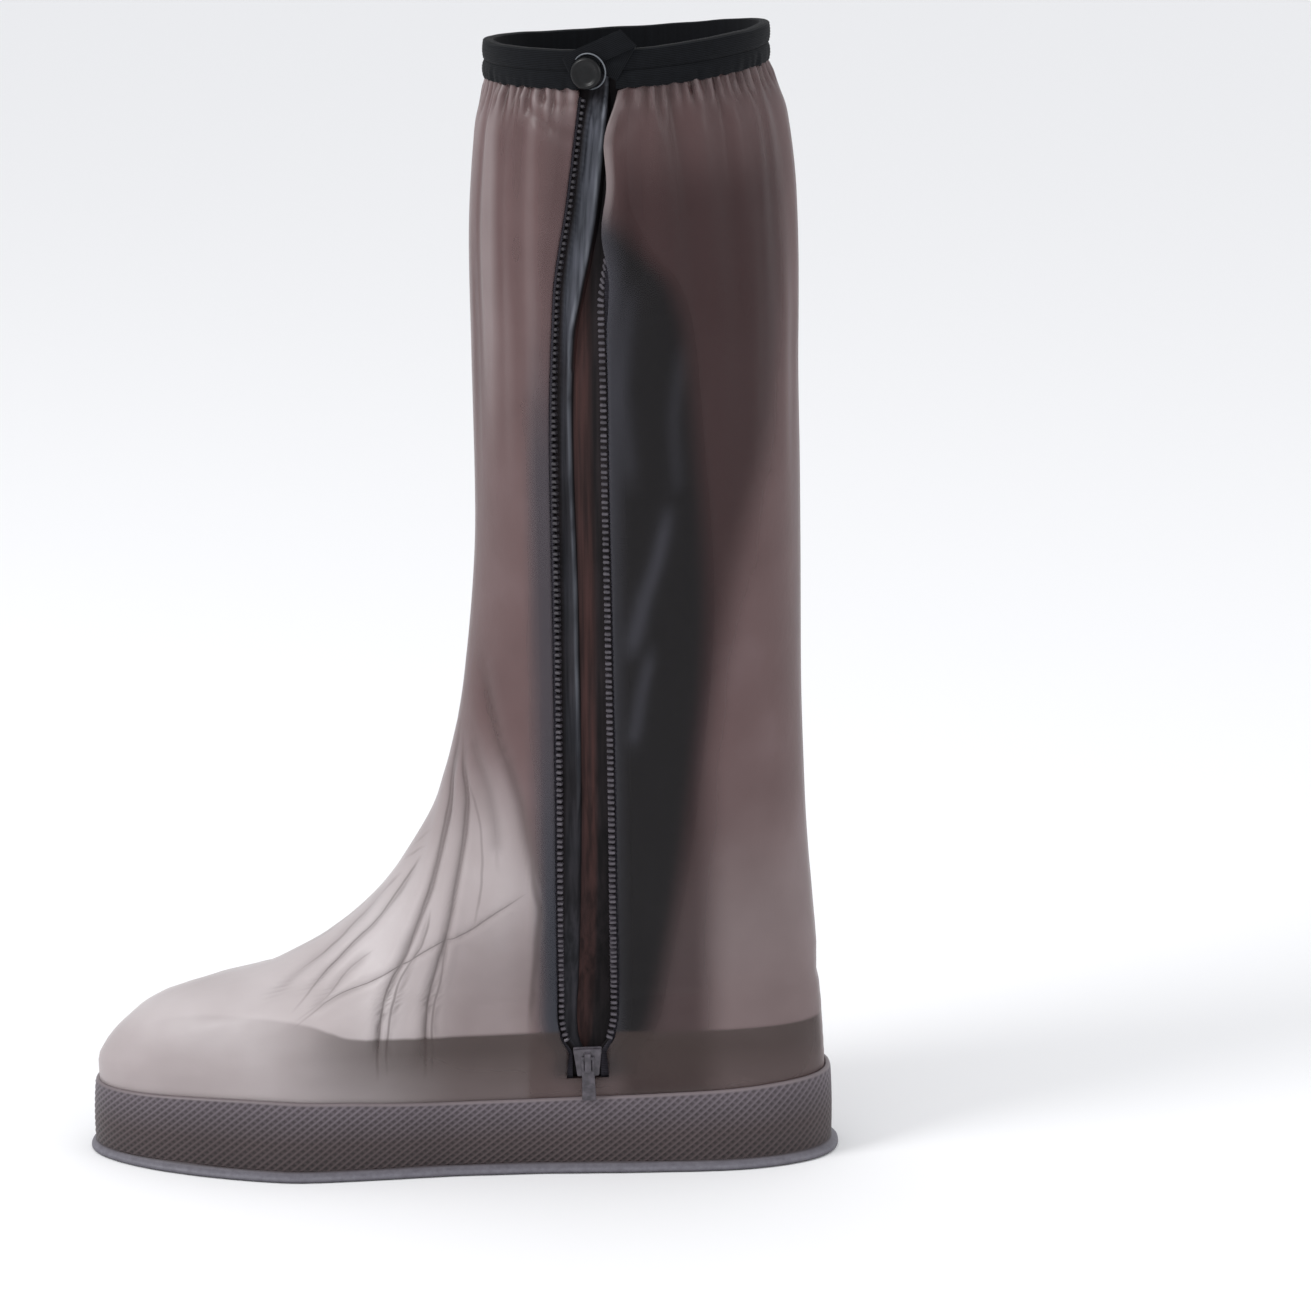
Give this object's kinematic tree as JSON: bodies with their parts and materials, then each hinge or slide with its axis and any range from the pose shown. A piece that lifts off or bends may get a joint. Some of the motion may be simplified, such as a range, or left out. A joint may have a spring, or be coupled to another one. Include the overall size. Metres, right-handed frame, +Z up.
{
  "type": "shoe cover",
  "caption": "Tall translucent waterproof shoe cover with an elastic cuff, a zip over a folded gusset on the inner side, a snap strap and a textured sole band.",
  "frame": {"origin": "on the floor under the middle of the cover's box", "axes": "-X towards the toe, -Y towards the inner side with the zip, +Z up the shaft"},
  "size_m": [0.2866, 0.1078, 0.4269],
  "materials": {
    "smoke_film": "soft satin translucent PVC film, smoky brown",
    "embossed_band": "dark brown PVC embossed with small diamonds",
    "sole_sheet": "satin grey-brown PVC sheet",
    "elastic_binding": "ribbed black elastic",
    "snap_plastic": "satin black",
    "zip_tape": "woven charcoal tape",
    "zip_plastic": "satin charcoal moulded plastic",
    "gusset_film": "satin blue-charcoal waterproof film"
  },
  "bodies": {
    "root": {"film_upper": "smoke_film", "sole_band": "embossed_band", "outsole": "sole_sheet", "cuff_binding": "elastic_binding", "closing_strap": "elastic_binding", "snap_button": "snap_plastic", "front_zip_tape": "zip_tape", "rear_zip_tape": "zip_tape", "front_zip_teeth": "zip_plastic", "rear_zip_teeth": "zip_plastic", "zip_gusset": "gusset_film", "zip_slider": "zip_plastic"}
  },
  "joints": []
}
